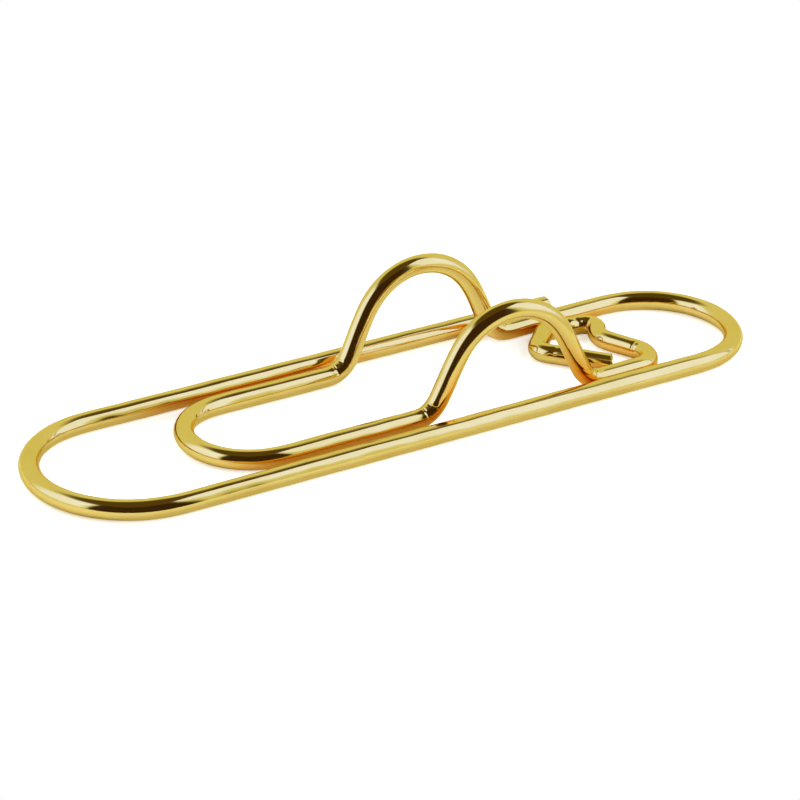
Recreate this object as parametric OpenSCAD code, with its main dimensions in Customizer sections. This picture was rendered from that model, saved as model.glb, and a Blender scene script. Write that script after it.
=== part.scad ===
// Pen holder clip bent from one length of round wire.
// The wire starts at a cut end behind, runs round the flat outer loop, turns back inside it as a
// springy tongue, rises into two pen arches, and closes with a small flat heart on the tail.
// Every stretch lies on one centre line: corner points, each rounded by its own bend.

/* [Wire] */
// Diameter of the round wire
wire_d = 2; // [1.6:0.1:2.2]
// Chamfer on the two cut ends of the wire
cut_chamfer = 0.2; // [0.1:0.05:0.4]

/* [Outer loop] */
// Length of the clip over its two round ends
loop_l = 78.7; // [72:0.1:95]
// Width of the clip over its two rails
loop_w = 21.4; // [20.6:0.1:24]
// Distance from the right end to the cut end of the back rail
cut_end_setback = 14.4; // [11:0.1:24]
// Straight left on the right end bend before the wire flexes
flex_stub = 1.2; // [0.6:0.1:2.4]

/* [Tongue] */
// Distance from the left end to the outside of the nose
nose_setback = 16.1; // [10:0.1:24]
// Clear gap between the back rail and the back run
back_run_gap = 1; // [0.6:0.05:1.4]
// Clear gap between the back rail and the back leg
back_leg_gap = 1.2; // [0.6:0.05:1.6]
// Clear gap between the front rail and the front leg
front_leg_gap = 1.6; // [0.8:0.05:2.2]
// Clear gap between the front rail and the front run
front_run_gap = 0.35; // [0.3:0.05:0.8]

/* [Pen arches] */
// Distance from the right end to the back crown
back_arch_setback = 32.1; // [30:0.05:36]
// Distance from the right end to the front crown
front_arch_setback = 30.3; // [29:0.05:34]
// Outward lean of both arches, in degrees
arch_splay = 2; // [0:0.1:6]
// Radius of the tight bends at the four feet
foot_bend_r = 2.7; // [1.6:0.1:3.2]
// Height of the back crown's centre line above the rails'
back_arch_rise = 9.5; // [8.5:0.1:11]
// Radius of the back crown
back_arch_r = 7.1; // [6:0.1:7.6]
// Slope of the back arch's legs, in degrees
back_arch_slope = 64.4; // [60:0.1:68]
// Height of the front crown's centre line above the rails'
front_arch_rise = 9.6; // [8.5:0.1:11]
// Radius of the front crown
front_arch_r = 6.45; // [5.4:0.05:7]
// Slope of the front arch's leg on the nose side, in degrees
front_nose_slope = 65.2; // [60:0.1:70]
// Slope of the front arch's leg on the heart side, in degrees
front_heart_slope = 62.3; // [58:0.1:66]

/* [Heart] */
// Distance from the heart's first bend to the right end
heart_setback = 13.1; // [12:0.1:18]
// Length of the heart from its first bend to its point
heart_l = 8.8; // [8:0.1:9.4]
// Distance of the heart's point from its shoulder, across the clip
point_drop = 3.5; // [2.8:0.1:4.2]
// How far the lower lobe swells past the first bend
lobe_swell = 0.5; // [0.2:0.1:0.9]
// Distance of the lower lobe's corner from the front run
lobe_rise = 2.9; // [2.7:0.1:3.4]
// Distance of the notch from the shoulder, across the clip
notch_drop = 3.75; // [3.4:0.05:4.2]
// How far the notch is drawn in from the lower lobe
notch_depth = 2.1; // [1.6:0.1:2.6]
// Direction of the upper lobe's flank, in degrees
lobe_flank_angle = 50; // [44:1:54]
// Distance from the heart's first bend back to its shoulder
shoulder_back = 5.25; // [4.6:0.05:5.8]
// Clear gap between the back run and the heart's shoulder
shoulder_gap = 0.3; // [0.3:0.05:0.6]
// Clear gap between the front run and the wire's last cut end
end_gap = 0.3; // [0.3:0.05:0.8]
// Slope of the last stretch, down to its cut end, in degrees
end_slope = 52; // [46:1:58]
// Radius of the heart's first bend
first_bend_r = 2.5; // [1.6:0.1:2.7]
// Radius of the heart's notch
notch_r = 2.8; // [1.4:0.1:3.2]
// Radius of the heart's other bends
heart_bend_r = 1.4; // [1.2:0.05:1.6]
// Radius of the heart's upper lobe
upper_lobe_r = 1.2; // [1.1:0.05:1.4]

/* [Hidden] */

$fn = 48;
gold = [0.83, 0.68, 0.31];
wire_r = wire_d / 2;
// Height of the flat stretches' centre line above the table
lie_z = wire_r;

// The outer loop's straight lines
right_x = loop_l / 2 - wire_r;
left_x = -right_x;
rail_y = loop_w / 2 - wire_r;
back_run_y = rail_y - wire_d - back_run_gap;
left_end_r = rail_y;
right_end_r = (rail_y + back_run_y) / 2;
// Plane across the back run where the tongue starts to flex
flex_x = right_x - right_end_r - flex_stub;

// The tongue's straight lines
back_leg_y = rail_y - wire_d - back_leg_gap;
front_leg_y = -rail_y + wire_d + front_leg_gap;
front_run_y = -rail_y + wire_d + front_run_gap;
nose_x = -loop_l / 2 + nose_setback + wire_r;
nose_r = (back_leg_y - front_leg_y) / 2;

// An arch is two sloping legs that would cross above its crown: the crown rounds that crossing.
// crossing_rise is its height above the feet, crossing_x its place along the clip.
function crossing_rise(rise, r, s1, s2) = rise - r + r * cos((s1 - s2) / 2) / cos((s1 + s2) / 2);
function crossing_x(x, r, s1, s2) = x - r * sin((s1 - s2) / 2) / cos((s1 + s2) / 2);

back_arch_x = loop_l / 2 - back_arch_setback;
back_top = crossing_rise(back_arch_rise, back_arch_r, back_arch_slope, back_arch_slope);
back_foot_out = back_top / tan(back_arch_slope);
back_top_y = (back_leg_y + back_run_y) / 2 + back_top * tan(arch_splay);

front_arch_x = loop_l / 2 - front_arch_setback;
front_top = crossing_rise(front_arch_rise, front_arch_r, front_nose_slope, front_heart_slope);
front_top_x = crossing_x(front_arch_x, front_arch_r, front_nose_slope, front_heart_slope);
front_top_y = (front_leg_y + front_run_y) / 2 - front_top * tan(arch_splay);
front_foot_nose_x = front_top_x - front_top / tan(front_nose_slope);
front_foot_heart_x = front_top_x + front_top / tan(front_heart_slope);

// The heart's corners in plan, from its first bend round to the last cut end
heart_x = loop_l / 2 - heart_setback;
lobe_corner = [heart_x + lobe_swell, front_run_y + lobe_rise];
shoulder_corner = [heart_x - shoulder_back, back_run_y - wire_d - shoulder_gap];
notch_corner = [lobe_corner.x - notch_depth, shoulder_corner.y - notch_drop];
notch_in = atan2(notch_corner.y - lobe_corner.y, notch_corner.x - lobe_corner.x);
notch_setback = notch_r * tan((notch_in - lobe_flank_angle) / 2);
// The upper lobe's corner follows from its bend, which starts where the notch's bend ends
shoulder_way = shoulder_corner - notch_corner;
shoulder_along = shoulder_way * [cos(lobe_flank_angle), sin(lobe_flank_angle)];
shoulder_off = shoulder_way * [-sin(lobe_flank_angle), cos(lobe_flank_angle)];
// The upper lobe's bend turns until it heads straight for the shoulder
to_shoulder = [shoulder_along - notch_setback, shoulder_off - upper_lobe_r];
lobe_turn = atan2(to_shoulder.y, to_shoulder.x) + asin(upper_lobe_r / norm(to_shoulder));
flank_l = notch_setback + upper_lobe_r * tan(lobe_turn / 2);
upper_lobe_corner = notch_corner + flank_l * [cos(lobe_flank_angle), sin(lobe_flank_angle)];
point_corner = [heart_x - heart_l, shoulder_corner.y - point_drop];
end_y = front_run_y + wire_r + end_gap + wire_r * cos(end_slope);
end_corner = [point_corner.x + (point_corner.y - end_y) / tan(end_slope), end_y];

function flat(p) = [p.x, p.y, lie_z];

// The whole centre line: the corners in the order in which the wire passes them, each with its name,
// its place and the radius of its bend
path = [
    ["back_cut", [loop_l / 2 - cut_end_setback, rail_y, lie_z], 0],
    ["left_back", [left_x, rail_y, lie_z], left_end_r],
    ["left_front", [left_x, -rail_y, lie_z], left_end_r],
    ["right_front", [right_x, -rail_y, lie_z], right_end_r],
    ["right_back", [right_x, back_run_y, lie_z], right_end_r],
    ["back_heart_foot", [back_arch_x + back_foot_out, back_run_y, lie_z], foot_bend_r],
    ["back_crown", [back_arch_x, back_top_y, lie_z + back_top], back_arch_r],
    ["back_nose_foot", [back_arch_x - back_foot_out, back_leg_y, lie_z], foot_bend_r],
    ["nose_back", [nose_x, back_leg_y, lie_z], nose_r],
    ["nose_front", [nose_x, front_leg_y, lie_z], nose_r],
    ["front_nose_foot", [front_foot_nose_x, front_leg_y, lie_z], foot_bend_r],
    ["front_crown", [front_top_x, front_top_y, lie_z + front_top], front_arch_r],
    ["front_heart_foot", [front_foot_heart_x, front_run_y, lie_z], foot_bend_r],
    ["first_bend", [heart_x, front_run_y, lie_z], first_bend_r],
    ["lower_lobe", flat(lobe_corner), heart_bend_r],
    ["notch", flat(notch_corner), notch_r],
    ["upper_lobe", flat(upper_lobe_corner), upper_lobe_r],
    ["shoulder", flat(shoulder_corner), heart_bend_r],
    ["heart_tip", flat(point_corner), heart_bend_r],
    ["heart_cut", flat(end_corner), 0]];

// A bend eats the same length, its setback, from the straights before and after its corner
function at(name) = search([name], path)[0];
function corner(i) = path[i][1];
function bend_r(i) = path[i][2];
function unit(v) = v / norm(v);
function heading(i) = unit(corner(i + 1) - corner(i));
function turn(i) = acos(heading(i - 1) * heading(i));
function setback(i) = bend_r(i) * tan(turn(i) / 2);
function bend_start(i) = bend_r(i) == 0 ? corner(i) : corner(i) - setback(i) * heading(i - 1);
function bend_end(i) = bend_r(i) == 0 ? corner(i) : corner(i) + setback(i) * heading(i);

// Point on the back run where the tongue starts to flex
flex_point = [flex_x, back_run_y, lie_z];

// Straight round wire from one point to another, with a chamfer at an end that is cut
module rod(from, to, cut_from = 0, cut_to = 0) {
    way = to - from;
    translate(from)
        rotate([0, acos(way.z / norm(way)), atan2(way.y, way.x)])
            rotate_extrude()
                polygon([[0, 0], [wire_r - cut_from, 0], [wire_r, cut_from],
                    [wire_r, norm(way) - cut_to], [wire_r - cut_to, norm(way)], [0, norm(way)]]);
}

// The straight from the bend at a named corner to the next bend
module run(name, cut_from = 0, cut_to = 0) {
    i = at(name);
    rod(bend_end(i), bend_start(i + 1), cut_from, cut_to);
}

// The round bend at a named corner: part of a ring, turned into the plane of its two straights
module bend(name) {
    i = at(name);
    ahead = heading(i - 1);
    inward = unit(heading(i) - ahead * (heading(i) * ahead));
    normal = cross(-inward, ahead);
    centre = bend_start(i) + bend_r(i) * inward;
    multmatrix([for (k = [0:2]) [-inward[k], ahead[k], normal[k], centre[k]]])
        rotate_extrude(angle = turn(i))
            translate([bend_r(i), 0])
                circle(r = wire_r);
}

// The outer loop
module outer_back_rail() { color(gold) run("back_cut", cut_from = cut_chamfer); }
module left_end_bend() {
    color(gold) {
        bend("left_back");
        bend("left_front");
    }
}
module front_rail() { color(gold) run("left_front"); }
module right_end_bend() {
    color(gold) {
        bend("right_front");
        bend("right_back");
        rod(bend_end(at("right_back")), flex_point);
    }
}

// The tongue, from where it flexes to its nose and back to the heart
module back_run() { color(gold) rod(flex_point, bend_start(at("back_heart_foot"))); }
module back_arch_heart_foot() { color(gold) bend("back_heart_foot"); }
module back_arch_heart_leg() { color(gold) run("back_heart_foot"); }
module back_arch_crown() { color(gold) bend("back_crown"); }
module back_arch_nose_leg() { color(gold) run("back_crown"); }
module back_arch_nose_foot() { color(gold) bend("back_nose_foot"); }
module tongue_back_leg() { color(gold) run("back_nose_foot"); }
module tongue_nose() {
    color(gold) {
        bend("nose_back");
        bend("nose_front");
    }
}
module tongue_front_leg() { color(gold) run("nose_front"); }
module front_arch_nose_foot() { color(gold) bend("front_nose_foot"); }
module front_arch_nose_leg() { color(gold) run("front_nose_foot"); }
module front_arch_crown() { color(gold) bend("front_crown"); }
module front_arch_heart_leg() { color(gold) run("front_crown"); }
module front_arch_heart_foot() { color(gold) bend("front_heart_foot"); }
module front_run() { color(gold) run("front_heart_foot"); }

// The heart, from its first bend beside the front rail to the last cut end
module heart_first_bend() { color(gold) bend("first_bend"); }
module heart_lower_side() { color(gold) run("first_bend"); }
module heart_lower_lobe() { color(gold) bend("lower_lobe"); }
module heart_notch_side() { color(gold) run("lower_lobe"); }
module heart_notch() { color(gold) bend("notch"); }
module heart_upper_lobe() { color(gold) bend("upper_lobe"); }
module heart_upper_side() { color(gold) run("upper_lobe"); }
module heart_shoulder() { color(gold) bend("shoulder"); }
module heart_back_slope() { color(gold) run("shoulder"); }
module heart_point() { color(gold) bend("heart_tip"); }
module heart_front_slope() { color(gold) run("heart_tip", cut_to = cut_chamfer); }

outer_back_rail();
left_end_bend();
front_rail();
right_end_bend();
back_run();
back_arch_heart_foot();
back_arch_heart_leg();
back_arch_crown();
back_arch_nose_leg();
back_arch_nose_foot();
tongue_back_leg();
tongue_nose();
tongue_front_leg();
front_arch_nose_foot();
front_arch_nose_leg();
front_arch_crown();
front_arch_heart_leg();
front_arch_heart_foot();
front_run();
heart_first_bend();
heart_lower_side();
heart_lower_lobe();
heart_notch_side();
heart_notch();
heart_upper_lobe();
heart_upper_side();
heart_shoulder();
heart_back_slope();
heart_point();
heart_front_slope();
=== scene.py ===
import math

import bpy
import numpy as np
from mathutils import Matrix, Vector


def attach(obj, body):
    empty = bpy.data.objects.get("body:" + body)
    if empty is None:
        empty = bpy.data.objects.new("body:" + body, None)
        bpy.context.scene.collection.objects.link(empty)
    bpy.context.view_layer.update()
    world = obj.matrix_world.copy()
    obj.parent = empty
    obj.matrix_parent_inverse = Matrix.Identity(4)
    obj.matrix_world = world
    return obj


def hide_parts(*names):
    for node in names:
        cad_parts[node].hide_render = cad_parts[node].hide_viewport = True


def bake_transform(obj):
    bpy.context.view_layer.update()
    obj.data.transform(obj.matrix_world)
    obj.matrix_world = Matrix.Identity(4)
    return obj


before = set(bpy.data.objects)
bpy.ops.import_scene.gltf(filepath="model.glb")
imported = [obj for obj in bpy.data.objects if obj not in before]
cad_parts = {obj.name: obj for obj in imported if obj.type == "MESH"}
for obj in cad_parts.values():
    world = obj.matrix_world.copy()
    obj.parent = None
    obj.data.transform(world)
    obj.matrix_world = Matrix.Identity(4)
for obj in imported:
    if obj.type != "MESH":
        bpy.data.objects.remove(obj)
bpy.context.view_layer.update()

# Outer back rail
# The wire's first straight. It is cut square off the coil, its edge is broken on a stone,
# and it runs along the back to the left end. All of the clip is this one gold-plated wire.
MM = 0.001
wire_r = 1.0 * MM
wire_sides = 48
ring_step, fewest_rings = 0.3 * MM, 6
broken_edge = 0.2 * MM
# The straightening rolls leave it very slightly wavy: length of a wave, turns round the wire, depth
rolling_waves = ((7.3 * MM, 2, 0.012 * MM), (3.1 * MM, 1, 0.006 * MM), (17.0 * MM, 3, 0.012 * MM))


def flat_ends(node):
    """The two flat ends of a stretch of wire: centre and outward direction of each."""
    all_one_way = 0.9999
    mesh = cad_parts[node].data
    corners = np.array([p.vertices[:] for p in mesh.polygons])
    facing = np.array([p.normal[:] for p in mesh.polygons])
    places = np.array([v.co[:] for v in mesh.vertices])
    patch = np.arange(len(places))
    while True:
        joined = patch.copy()
        np.minimum.at(joined, corners.ravel(), np.repeat(patch[corners].min(1), 3))
        if (joined == patch).all():
            break
        patch = joined
    ends = []
    for number in np.unique(patch[corners[:, 0]]):
        faces = patch[corners[:, 0]] == number
        if (facing[faces] @ facing[faces][0]).min() > all_one_way:
            rim = places[np.unique(corners[faces])]
            ends.append((Vector(rim.mean(0)), Vector(facing[faces].mean(0)).normalized()))
    return ends


def stretch_points(near, far, step):
    """Points along a stretch between its two flat ends: round, straight, or round and then straight."""
    least_turn, least_rest = 0.001, step / 10
    (start, behind), (end, leaving) = near, far
    ahead = -behind
    way = end - start
    turn = ahead.angle(leaving)
    points = [start]
    if turn > least_turn:
        inward = (way - ahead * way.dot(ahead)).normalized()
        radius = way.dot(inward) / (1 - math.cos(turn))
        count = math.ceil(radius * turn / step)
        for k in range(1, count + 1):
            at = turn * k / count
            points.append(start + radius * (math.sin(at) * ahead + (1 - math.cos(at)) * inward))
    rest = end - points[-1]
    if rest.length > least_rest:
        last = points[-1]
        count = math.ceil(rest.length / step)
        points += [last + rest * (k / count) for k in range(1, count + 1)]
    return points


# The wire's centre line, from one cut end to the other, and where each stretch lies on it
line_step = 0.1 * MM
ends = {node: flat_ends(node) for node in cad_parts}
wire_at = max((end[0] for end in ends["outer_back_rail"]), key=lambda place: place.x)
wire_line, stretches = [wire_at], {}
while ends:
    node = min(ends, key=lambda n: min((end[0] - wire_at).length for end in ends[n]))
    near, far = sorted(ends.pop(node), key=lambda end: (end[0] - wire_at).length)
    before = len(wire_line) - 1
    wire_line += stretch_points(near, far, line_step)[1:]
    stretches[node] = (before, len(wire_line) - 1)
    wire_at = far[0]
wire_line = np.array(wire_line)
fed = np.concatenate([[0], np.cumsum(np.linalg.norm(np.diff(wire_line, axis=0), axis=1))])

# No bender goes from straight to round at once: each bend eases in and out, the tight ones more quickly
ease_wide, ease_foot, ease_heart = 1.6 * MM, 0.7 * MM, 0.5 * MM
ease_growth = 0.25
ease = np.full(len(fed), ease_wide)
for node, (first, last) in stretches.items():
    if "foot" in node or node.startswith("heart_"):
        quick = ease_foot if "foot" in node else ease_heart
        away = np.maximum(np.maximum(fed[first] - fed, fed - fed[last]), 0)
        ease = np.minimum(ease, quick + ease_growth * away)


def eased(line):
    """The line with each point averaged over its neighbours, as far along as the wire eases there."""
    spread, hair = 3, 1e-9
    smooth = np.empty_like(line)
    spacing = np.gradient(fed)
    for i, here in enumerate(fed):
        reach = min(spread * ease[i], here, fed[-1] - here)
        low, high = np.searchsorted(fed, (here - reach - hair, here + reach + hair))
        weight = np.exp(-0.5 * ((fed[low:high] - here) / ease[i]) ** 2) * spacing[low:high]
        smooth[i] = weight @ line[low:high] / weight.sum()
    return smooth


once = eased(wire_line)
wire_line = 2 * once - eased(once)

# Painted reflection: where neighbouring wires face each other the colour goes orange-red, standing in for
# the light that bounces between them. This fades with the gap, and on sides that turn away or look up.
gap_glow_reach = 3.4 * MM
gap_glow_facing = 0.4
gap_glow_up_none, gap_glow_up_full = 0.4, -0.05
# The stretch just before or after is no neighbour, nor is one far off
gap_glow_own, gap_glow_far = 5.0 * MM, 12.0 * MM
gap_glow_every = 4


def painted_gap_glow(rings, normals, lengths):
    """How much painted reflection from neighbouring wires each point of a stretch gets, from 0 to 1."""
    gap_glow = np.zeros(rings.shape[:2])
    for i, ring in enumerate(rings):
        other = np.clip(abs(fed - lengths[i]) / gap_glow_own - 1, 0, 1)
        close = np.linalg.norm(wire_line - ring.mean(0), axis=1) < gap_glow_far
        beside = np.flatnonzero((other > 0) & close)[::gap_glow_every]
        if len(beside):
            way = wire_line[beside][None] - ring[:, None]
            apart = np.linalg.norm(way, axis=2)
            faced = np.clip((way * normals[i][:, None]).sum(2) / apart / gap_glow_facing, 0, 1)
            near = np.exp(-(np.maximum(apart - wire_r, 0) / gap_glow_reach) ** 2)
            gap_glow[i] = (near * faced * other[beside]).max(1)
    return gap_glow * np.clip((gap_glow_up_none - normals[..., 2]) / (gap_glow_up_none - gap_glow_up_full), 0, 1)


def lay_wire(node, finish, marks=(), cut_start=False, cut_end=False, slant=0, step=ring_step):
    """One stretch of round wire over its CAD node. A mark is (place along, side, half length, half width,
    depth): a dent of the bending tool, with its side and half width in degrees round the wire, from its
    right over its top. A slanted cut leans this many degrees back on the left of the far end."""
    first, last = (fed[i] for i in stretches[node])
    lengths = np.linspace(first, last, max(fewest_rings, math.ceil((last - first) / step)) + 1)
    if cut_start:
        lengths = np.insert(lengths, 1, first + broken_edge)
    if cut_end:
        lengths = np.insert(lengths, -1, last - broken_edge)
    lengths = np.concatenate([[2 * first - lengths[1]], lengths, [2 * last - lengths[-2]]])
    radii = np.full(len(lengths), wire_r)
    if cut_start:
        radii[:2] -= broken_edge
    if cut_end:
        radii[-2:] -= broken_edge

    # Rings of points round the centre line, with one more before and after the stretch for the normals
    points = np.stack([np.interp(lengths, fed, wire_line[:, k]) for k in range(3)], 1)
    slope = np.gradient(wire_line, fed, axis=0)
    directions = np.stack([np.interp(lengths, fed, slope[:, k]) for k in range(3)], 1)
    directions /= np.linalg.norm(directions, axis=1)[:, None]
    right = np.cross(directions, (0.0, 0.0, 1.0))
    right /= np.linalg.norm(right, axis=1)[:, None]
    top = np.cross(right, directions)
    around = np.radians(-90 + 360 * np.arange(wire_sides) / wire_sides)
    outward = right[:, None] * np.cos(around)[None, :, None] + top[:, None] * np.sin(around)[None, :, None]
    reach = np.repeat(radii[:, None], wire_sides, 1)
    for wave_long, wave_round, wave_deep in rolling_waves:
        wave = 2 * math.pi * lengths[:, None] / wave_long + wave_round * around[None, :]
        reach -= wave_deep * (1 + np.sin(wave)) / 2
    for place, side, half_long, half_wide, depth in marks:
        along = lengths[:, None] - first - place
        off = (np.degrees(around)[None, :] - side + 180) % 360 - 180
        reach -= depth * np.exp(-(along / half_long) ** 2 - (off / half_wide) ** 2)
    rings = points[:, None] + outward * reach[..., None]
    slant_reach = 4 * wire_r
    near_cut = np.maximum(1 - (last - lengths) / slant_reach, 0)
    cut_back = math.tan(math.radians(slant)) * wire_r * -np.cos(around)
    rings -= directions[:, None] * near_cut[:, None, None] * cut_back[None, :, None]
    normals = np.cross(np.gradient(rings, axis=0), np.roll(rings, -1, 1) - np.roll(rings, 1, 1))
    normals /= np.linalg.norm(normals, axis=2)[..., None]
    rings, normals, lengths, directions = rings[1:-1], normals[1:-1], lengths[1:-1], directions[1:-1]

    # The skin between the rings, and a flat face at each end
    count = len(rings)
    faces, face_normals, face_uv = [], [], []
    for i in range(count - 1):
        here, after = i * wire_sides, (i + 1) * wire_sides
        u, v = lengths[i] / wire_r, lengths[i + 1] / wire_r
        for j in range(wire_sides):
            k = (j + 1) % wire_sides
            faces.append((here + j, after + j, after + k, here + k))
            face_normals += [normals[i, j], normals[i + 1, j], normals[i + 1, k], normals[i, k]]
            low, high = j / wire_sides, (j + 1) / wire_sides
            face_uv += [(u, low), (v, low), (v, high), (u, high)]
    cut_face = directions[-1] - right[-1] * math.tan(math.radians(slant))
    for i, facing in ((0, -directions[0]), (count - 1, cut_face / np.linalg.norm(cut_face))):
        rim = [i * wire_sides + j for j in range(wire_sides)]
        faces.append(rim if i == 0 else rim[::-1])
        face_normals += [facing] * wire_sides
        face_uv += [(0.5 + 0.5 * math.cos(a), 0.5 + 0.5 * math.sin(a)) for a in around]

    mesh = bpy.data.meshes.new(node + "_wire")
    mesh.from_pydata(rings.reshape(-1, 3).tolist(), [], faces)
    mesh.polygons.foreach_set("use_smooth", [True] * len(faces))
    # Each point keeps how much painted reflection from neighbouring wires it gets, for the material
    gap_glow_layer = mesh.attributes.new("painted_gap_reflection", "FLOAT", "POINT")
    gap_glow = painted_gap_glow(rings, normals, lengths)
    gap_glow_layer.data.foreach_set("value", gap_glow.astype(np.float32).ravel())
    mesh.uv_layers.new(name="fed").data.foreach_set("uv", np.array(face_uv, np.float32).ravel())
    mesh.normals_split_custom_set([tuple(n) for n in face_normals])
    mesh.materials.append(finish)
    piece = bpy.data.objects.new(node + "_wire", mesh)
    bpy.context.scene.collection.objects.link(piece)
    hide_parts(node)
    return piece


rich_gold, pale_gold = (0.93, 0.64, 0.132, 1), (0.98, 0.695, 0.168, 1)
gold_at_grazing = (1.0, 0.9, 0.52, 1)
# Orange-red for the painted reflection between neighbouring wires
gap_reflection_orange = (1.0, 0.38, 0.02, 1)
gold = bpy.data.materials.new("polished_gold_plate")
gold.use_nodes = True
tree = gold.node_tree
shader = tree.nodes["Principled BSDF"]
shader.inputs["Metallic"].default_value = 1.0
shader.inputs["Specular Tint"].default_value = gold_at_grazing
coordinates = tree.nodes.new("ShaderNodeTexCoord")

# The plate is a little richer here and paler there, as it comes from the bath
cloud = tree.nodes.new("ShaderNodeTexNoise")
cloud.inputs["Scale"].default_value = 220
cloud.inputs["Detail"].default_value = 3
tree.links.new(coordinates.outputs["Object"], cloud.inputs["Vector"])
tone = tree.nodes.new("ShaderNodeValToRGB")
tone.color_ramp.elements[0].position = 0.3
tone.color_ramp.elements[0].color = rich_gold
tone.color_ramp.elements[1].position = 0.7
tone.color_ramp.elements[1].color = pale_gold
tree.links.new(cloud.outputs["Fac"], tone.inputs["Fac"])
# Towards orange-red where neighbouring wires lie close: a painted reflection of the light that bounces
# between them
painted_gap_reflection = tree.nodes.new("ShaderNodeAttribute")
painted_gap_reflection.attribute_name = "painted_gap_reflection"
gap_reflection_mix = tree.nodes.new("ShaderNodeMix")
gap_reflection_mix.data_type = "RGBA"
mix_a, mix_b, mix_result = gap_reflection_mix.inputs[6], gap_reflection_mix.inputs[7], gap_reflection_mix.outputs[2]
tree.links.new(painted_gap_reflection.outputs["Fac"], gap_reflection_mix.inputs["Factor"])
tree.links.new(tone.outputs["Color"], mix_a)
mix_b.default_value = gap_reflection_orange
tree.links.new(mix_result, shader.inputs["Base Color"])

# Faint lines along the wire are left by the drawing die
stretch = tree.nodes.new("ShaderNodeMapping")
stretch.inputs["Scale"].default_value = (0.04, 26, 1)
tree.links.new(coordinates.outputs["UV"], stretch.inputs["Vector"])
drawn = tree.nodes.new("ShaderNodeTexNoise")
drawn.inputs["Scale"].default_value = 2.0
drawn.inputs["Detail"].default_value = 2
tree.links.new(stretch.outputs["Vector"], drawn.inputs["Vector"])
gloss = tree.nodes.new("ShaderNodeMapRange")
gloss.inputs["To Min"].default_value = 0.05
gloss.inputs["To Max"].default_value = 0.15
tree.links.new(drawn.outputs["Fac"], gloss.inputs["Value"])
tree.links.new(gloss.outputs["Result"], shader.inputs["Roughness"])
relief = tree.nodes.new("ShaderNodeBump")
relief.inputs["Strength"].default_value = 0.12
relief.inputs["Distance"].default_value = 0.00002
tree.links.new(drawn.outputs["Fac"], relief.inputs["Height"])
tree.links.new(relief.outputs["Normal"], shader.inputs["Normal"])

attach(lay_wire("outer_back_rail", gold, cut_start=True), "outer_loop")

# Left end bend
# The wire is wound half round a mandrel the full width of the clip.
# It keeps its round section, because the mandrel is grooved.
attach(lay_wire("left_end_bend", gold), "outer_loop")

# Front rail
# The longest straight of the clip, left as it came from the straightening rolls,
# with one small nick from the tray.
nick_deep, nick_wide = 0.03 * MM, 14
rail_nick = (50.1 * MM, -25, 0.25 * MM, nick_wide, nick_deep)
rail_step = 0.15 * MM
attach(lay_wire("front_rail", gold, [rail_nick], step=rail_step), "outer_loop")

# Right end bend
# A second half round of the same wire, a little narrower than the first one.
# It is wound on a smaller mandrel, so that the wire comes back inside its own loop.
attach(lay_wire("right_end_bend", gold), "outer_loop")

# Back run
# The straight that springs: the tongue is held to the loop by nothing else, so this
# length bends when a cover is pushed in and brings the tongue back when it is pulled out.
back_run = lay_wire("back_run", gold)
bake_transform(back_run)

# Back pen arch
# The wire is kicked up out of the flat, carried over a round crown and brought down again.
# The feet are bent over a sharp tool, which leaves two grooves across the inside of each.
bend_step = 0.08 * MM
tool_edge = 0.20 * MM
back_arch_marks = {
    "back_arch_heart_foot": [(0.90 * MM, 90, tool_edge, 50, 0.06 * MM),
                             (2.10 * MM, 90, tool_edge, 50, 0.06 * MM)],
    "back_arch_nose_foot": [(0.80 * MM, 100, tool_edge, 50, 0.07 * MM),
                            (2.15 * MM, 115, tool_edge, 50, 0.07 * MM)]}
for stretch_name in ("back_arch_heart_foot", "back_arch_heart_leg", "back_arch_crown",
                     "back_arch_nose_leg", "back_arch_nose_foot"):
    marks = back_arch_marks.get(stretch_name, ())
    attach(lay_wire(stretch_name, gold, marks, step=bend_step), "tongue")

# Tongue legs and nose
# The same wire runs on flat to a half round nose and back again.
# The nose is wound on a mandrel of its own, and it slides over the cover's edge.
for stretch_name in ("tongue_back_leg", "tongue_nose", "tongue_front_leg"):
    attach(lay_wire(stretch_name, gold), "tongue")

# Front pen arch
# The second arch stands opposite the first, so that a pen lies across both.
# It is bent on the same tool, and its leg has a small nick.
front_arch_marks = {
    "front_arch_nose_foot": [(1.10 * MM, 70, tool_edge, 50, 0.07 * MM),
                             (2.25 * MM, 55, tool_edge, 45, 0.07 * MM)],
    "front_arch_heart_leg": [(1.12 * MM, -16, tool_edge, nick_wide, nick_deep)],
    "front_arch_heart_foot": [(0.80 * MM, 85, tool_edge, 40, 0.04 * MM),
                              (1.60 * MM, 70, 0.18 * MM, 38, 0.08 * MM)]}
for stretch_name in ("front_arch_nose_foot", "front_arch_nose_leg", "front_arch_crown",
                     "front_arch_heart_leg", "front_arch_heart_foot"):
    marks = front_arch_marks.get(stretch_name, ())
    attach(lay_wire(stretch_name, gold, marks, step=bend_step), "tongue")

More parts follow.
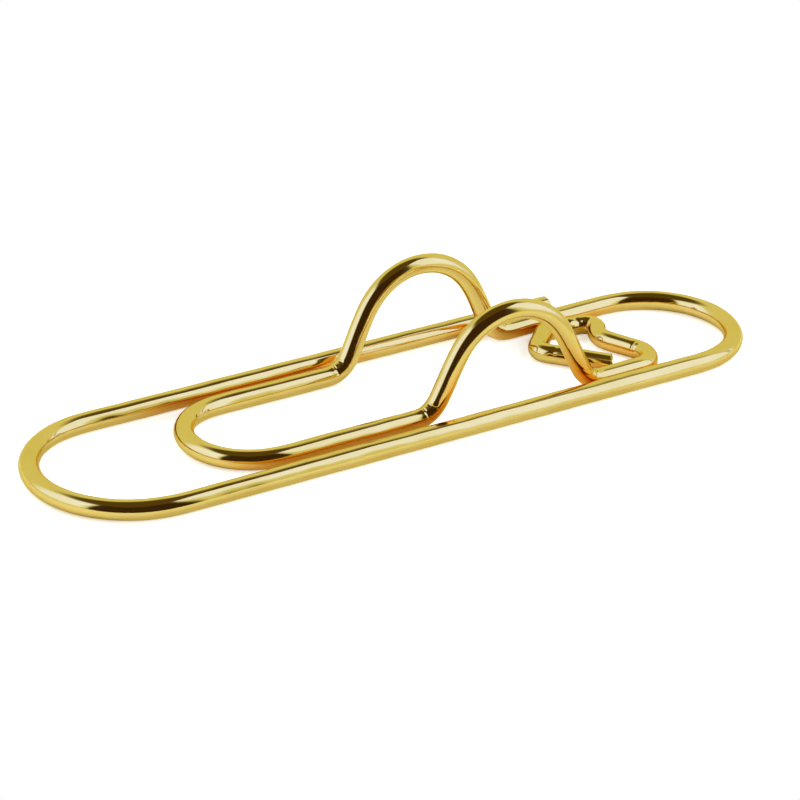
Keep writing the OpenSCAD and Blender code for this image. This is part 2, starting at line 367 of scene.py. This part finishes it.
# Heart
# The tail runs on beside the front rail and is bent by hand pliers into a flat heart, notch
# outwards and point inwards. The jaws dent it, and it is cut off where it meets its own start.
heart_marks = {
    "heart_first_bend": [(2.95 * MM, 150, 0.16 * MM, 40, 0.06 * MM)],
    "heart_notch_side": [(0.35 * MM, 140, 0.14 * MM, 35, 0.05 * MM)],
    "heart_upper_lobe": [(0.45 * MM, 160, 0.16 * MM, 40, 0.06 * MM),
                         (1.35 * MM, 165, 0.18 * MM, 40, 0.06 * MM)],
    "heart_upper_side": [(0.60 * MM, 118, 0.26 * MM, 30, 0.06 * MM),
                         (1.55 * MM, 95, 0.14 * MM, 32, 0.05 * MM)],
    "heart_front_slope": [(0.80 * MM, 60, 0.30 * MM, 30, 0.05 * MM)]}
last_cut_slant = 16
for stretch_name in ("front_run", "heart_first_bend", "heart_lower_side", "heart_lower_lobe",
                     "heart_notch_side", "heart_notch", "heart_upper_lobe", "heart_upper_side",
                     "heart_shoulder", "heart_back_slope", "heart_point", "heart_front_slope"):
    is_last = stretch_name == "heart_front_slope"
    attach(lay_wire(stretch_name, gold, heart_marks.get(stretch_name, ()), cut_end=is_last,
                     slant=last_cut_slant if is_last else 0, step=bend_step), "tongue")

# Floor
# A plain white table of matt board. To the camera it has a little light of its own, so that it is
# white up to the wire and keeps only the close shadow. In the wire's reflections it has much less.
floor_half_long, floor_half_wide = 0.06, 0.04
floor_sides = 96
floor_white = (0.82, 0.82, 0.82, 1)
glow_colour = (1, 0.96, 0.8, 1)
glow_seen, glow_mirrored = 0.6, 0.07
floor_turns = [2 * math.pi * k / floor_sides for k in range(floor_sides)]
floor_rim = [(floor_half_long * math.cos(a), floor_half_wide * math.sin(a), 0) for a in floor_turns]
floor_mesh = bpy.data.meshes.new("floor")
floor_mesh.from_pydata(floor_rim, [], [tuple(range(floor_sides))])
floor = bpy.data.objects.new("floor", floor_mesh)
bpy.context.scene.collection.objects.link(floor)
white_table = bpy.data.materials.new("white_table")
white_table.use_nodes = True
tree = white_table.node_tree
tree.nodes.clear()
matt = tree.nodes.new("ShaderNodeBsdfDiffuse")
matt.inputs["Color"].default_value = floor_white
glow = tree.nodes.new("ShaderNodeEmission")
glow.inputs["Color"].default_value = glow_colour
rays = tree.nodes.new("ShaderNodeLightPath")
mirrored = tree.nodes.new("ShaderNodeMath")
mirrored.operation = "MAXIMUM"
tree.links.new(rays.outputs["Is Glossy Ray"], mirrored.inputs[0])
tree.links.new(rays.outputs["Is Transmission Ray"], mirrored.inputs[1])
dimmed = tree.nodes.new("ShaderNodeMath")
dimmed.operation = "MULTIPLY"
dimmed.inputs[1].default_value = glow_mirrored
tree.links.new(mirrored.outputs["Value"], dimmed.inputs[0])
level = tree.nodes.new("ShaderNodeMath")
level.operation = "MULTIPLY_ADD"
level.inputs[1].default_value = glow_seen
tree.links.new(rays.outputs["Is Camera Ray"], level.inputs[0])
tree.links.new(dimmed.outputs["Value"], level.inputs[2])
both = tree.nodes.new("ShaderNodeAddShader")
surface = tree.nodes.new("ShaderNodeOutputMaterial")
tree.links.new(level.outputs["Value"], glow.inputs["Strength"])
tree.links.new(matt.outputs["BSDF"], both.inputs[0])
tree.links.new(glow.outputs["Emission"], both.inputs[1])
tree.links.new(both.outputs["Shader"], surface.inputs["Surface"])
floor_mesh.materials.append(white_table)

# Studio
# A white room with a cloth tent, a softbox on each side and two lamps for the table. Dark boards
# stand behind the camera and overhead, where a polished wire would otherwise show nothing but white.
scene = bpy.context.scene
scene.view_settings.view_transform = "Standard"
room_seen, room_light = 1.0, 0.06
room = bpy.data.worlds.new("white_room")
scene.world = room
room.use_nodes = True
tree = room.node_tree
wall = tree.nodes["Background"]
wall.inputs["Color"].default_value = (1, 1, 1, 1)
rays = tree.nodes.new("ShaderNodeLightPath")
seen = tree.nodes.new("ShaderNodeMath")
seen.operation = "MAXIMUM"
tree.links.new(rays.outputs["Is Camera Ray"], seen.inputs[0])
tree.links.new(rays.outputs["Is Glossy Ray"], seen.inputs[1])
shown = tree.nodes.new("ShaderNodeMath")
shown.operation = "MAXIMUM"
tree.links.new(seen.outputs["Value"], shown.inputs[0])
tree.links.new(rays.outputs["Is Transmission Ray"], shown.inputs[1])
brightness = tree.nodes.new("ShaderNodeMapRange")
brightness.inputs["To Min"].default_value = room_light
brightness.inputs["To Max"].default_value = room_seen
tree.links.new(shown.outputs["Value"], brightness.inputs["Value"])
tree.links.new(brightness.outputs["Result"], wall.inputs["Strength"])


def towards(azimuth, elevation):
    """Direction from the clip into the studio. Azimuth 0 is along +Y and 90 along +X."""
    a, e = math.radians(azimuth), math.radians(elevation)
    return Vector((math.sin(a) * math.cos(e), math.cos(a) * math.cos(e), math.sin(e)))


hem = 0.001


def board(name, panes, radiance, fade=(hem, hem, hem, hem)):
    """A lit or dark cloth that only reflections see. Each pane lists its corners with their shares across
    and up the cloth, and the cloth fades out over these shares at its left, right, low and high edge."""
    corners = [place for pane in panes for place, _ in pane]
    count = len(panes[0])
    mesh = bpy.data.meshes.new(name)
    mesh.from_pydata([tuple(place) for place in corners], [],
                     [tuple(range(k * count, (k + 1) * count)) for k in range(len(panes))])
    shares = mesh.uv_layers.new(name="shares")
    for loop, share in zip(shares.data, [share for pane in panes for _, share in pane]):
        loop.uv = share
    cloth = bpy.data.materials.new(name + "_cloth")
    cloth.use_nodes = True
    tree = cloth.node_tree
    tree.nodes.clear()
    light = tree.nodes.new("ShaderNodeEmission")
    light.inputs["Color"].default_value = (*(part / max(radiance) for part in radiance), 1)
    light.inputs["Strength"].default_value = max(radiance)
    coordinates = tree.nodes.new("ShaderNodeTexCoord")
    split = tree.nodes.new("ShaderNodeSeparateXYZ")
    tree.links.new(coordinates.outputs["UV"], split.inputs["Vector"])
    mask = None
    edges = (("X", False), ("X", True), ("Y", False), ("Y", True))
    for (axis, far_edge), share in zip(edges, fade):
        edge = tree.nodes.new("ShaderNodeMapRange")
        edge.interpolation_type = "SMOOTHSTEP"
        edge.inputs["From Min"].default_value = 1 - share if far_edge else 0
        edge.inputs["From Max"].default_value = 1 if far_edge else share
        edge.inputs["To Min"].default_value = 1 if far_edge else 0
        edge.inputs["To Max"].default_value = 0 if far_edge else 1
        tree.links.new(split.outputs[axis], edge.inputs["Value"])
        if mask:
            both = tree.nodes.new("ShaderNodeMath")
            both.operation = "MULTIPLY"
            tree.links.new(mask, both.inputs[0])
            tree.links.new(edge.outputs["Result"], both.inputs[1])
            mask = both.outputs["Value"]
        else:
            mask = edge.outputs["Result"]
    clear = tree.nodes.new("ShaderNodeBsdfTransparent")
    mix = tree.nodes.new("ShaderNodeMixShader")
    out = tree.nodes.new("ShaderNodeOutputMaterial")
    tree.links.new(mask, mix.inputs["Fac"])
    tree.links.new(clear.outputs["BSDF"], mix.inputs[1])
    tree.links.new(light.outputs["Emission"], mix.inputs[2])
    tree.links.new(mix.outputs["Shader"], out.inputs["Surface"])
    mesh.materials.append(cloth)
    piece = bpy.data.objects.new(name, mesh)
    scene.collection.objects.link(piece)
    piece.visible_camera = False
    piece.visible_diffuse = False
    piece.visible_shadow = False


def upright(azimuth_from, azimuth_to, elevation_from, elevation_to, away):
    """The one pane of an upright board that the clip sees between these angles."""
    facing = (azimuth_from + azimuth_to) / 2
    half_wide = math.tan(math.radians(azimuth_to - azimuth_from) / 2)
    middle = towards(facing, 0) * away
    side = towards(facing + 90, 0) * away * half_wide
    low, high = (Vector((0, 0, away * math.tan(math.radians(e)))) for e in (elevation_from, elevation_to))
    return [[(middle - side + low, (0, 0)), (middle + side + low, (1, 0)),
             (middle + side + high, (1, 1)), (middle - side + high, (0, 1))]]


# The tent closes the room all round, and the top board hangs in it and fades towards its rim
pane_turn = 15
panes_round = 360 // pane_turn
pane_corners = ((0, 0), (1, 0), (1, 1), (0, 1))
mid_cloth = (0.5, 0.5)
tent_away = 1.4
tent_rows = range(-1, 90 // pane_turn)
tent_panes = [[(towards(pane_turn * (k + a), pane_turn * (j + e)) * tent_away, mid_cloth)
               for a, e in pane_corners] for j in tent_rows for k in range(panes_round)]
board("tent", tent_panes, (0.67, 0.742, 0.67))
top_high, top_rim_elevation = 0.95, 46
top_reach = top_high / math.tan(math.radians(top_rim_elevation))
rim_turns = [math.radians(pane_turn * k) for k in range(panes_round + 1)]
top_rim = [(math.sin(a) * top_reach, math.cos(a) * top_reach, top_high) for a in rim_turns]
rim_share, middle_share = (0.5, 0), (0.5, 1)
top_panes = [[(top_rim[k], rim_share), (top_rim[k + 1], rim_share), ((0, 0, top_high), middle_share)]
             for k in range(panes_round)]
board("top_board", top_panes, (0.085, 0.06, 0.012), (hem, hem, 0.48, hem))

# The softboxes
softbox_away = 0.42
board("left_softbox", upright(-108, -34, 0, 60, softbox_away),
      (0.89, 1.14, 3.05), (0.20, 0.36, 0.13, 0.40))
board("right_softbox", upright(94, 153, -4, 65, softbox_away),
      (0.88, 1.13, 3.05), (0.14, 0.11, 0.14, 0.05))

# The dark boards behind the camera and beside it
dark_cloth = (0.035, 0.017, 0.007)
board("camera_board", upright(155, 222, -10, 80, 0.56), dark_cloth, (0.06, 0.06, 0.004, 0.02))
board("side_board", upright(216, 258, -10, 80, 0.58), dark_cloth, (0.1, 0.16, 0.01, 0.02))

# The dim frame of the right softbox
edge_away = 0.4
edge_at = ((102, 6), (108, 6), (98, 48), (94, 48))
edge_pane = [(towards(*at) * edge_away, share) for at, share in zip(edge_at, pane_corners)]
board("softbox_edge", [edge_pane], (0.36, 0.34, 0.28), (0.4, 0.4, 0.15, 0.3))

lamp_size, lamp_away, lamp_elevation = 0.7, 0.6, 34
lamp_colour = (0.93, 1.04, 1.25)


def lamp(name, azimuth, radiance):
    """A wide lamp for the table, which the wire doesn't mirror."""
    light = bpy.data.lights.new(name, "AREA")
    light.shape = "SQUARE"
    light.size = lamp_size
    light.color = lamp_colour
    light.energy = radiance * math.pi * lamp_size * lamp_size
    box = bpy.data.objects.new(name, light)
    box.location = towards(azimuth, lamp_elevation) * lamp_away
    box.rotation_euler = towards(azimuth, lamp_elevation).to_track_quat("Z", "Y").to_euler()
    box.visible_glossy = False
    scene.collection.objects.link(box)


lamp("front_lamp", 150, 2.9)
lamp("back_lamp", -26, 2.7)

# Camera
# A long lens on a stand, above the front left corner, with a very slight roll.
# Its place, roll and lens were found by fitting the clip's outline.
aim = Vector((0.62, 0, 1.0)) * MM
camera_away = 328.52 * MM
azimuth, elevation, roll = (math.radians(d) for d in (-32.706, 25.641, 0.807))
backward = Vector((math.sin(azimuth) * math.cos(elevation),
                   -math.cos(azimuth) * math.cos(elevation), math.sin(elevation)))
level_right = Vector((math.cos(azimuth), math.sin(azimuth), 0))
level_up = backward.cross(level_right)
rightward = math.cos(roll) * level_right + math.sin(roll) * level_up
upward = math.cos(roll) * level_up - math.sin(roll) * level_right
lens = bpy.data.cameras.new("camera")
lens.sensor_width = 36
lens.lens = 151.587
lens.shift_x = 0.00213
lens.shift_y = -0.0098
lens.clip_start, lens.clip_end = 0.01, 50
camera = bpy.data.objects.new("camera", lens)
turned = Matrix((rightward, upward, backward)).transposed().to_4x4()
camera.matrix_world = Matrix.Translation(aim + backward * camera_away) @ turned
scene.collection.objects.link(camera)
scene.camera = camera
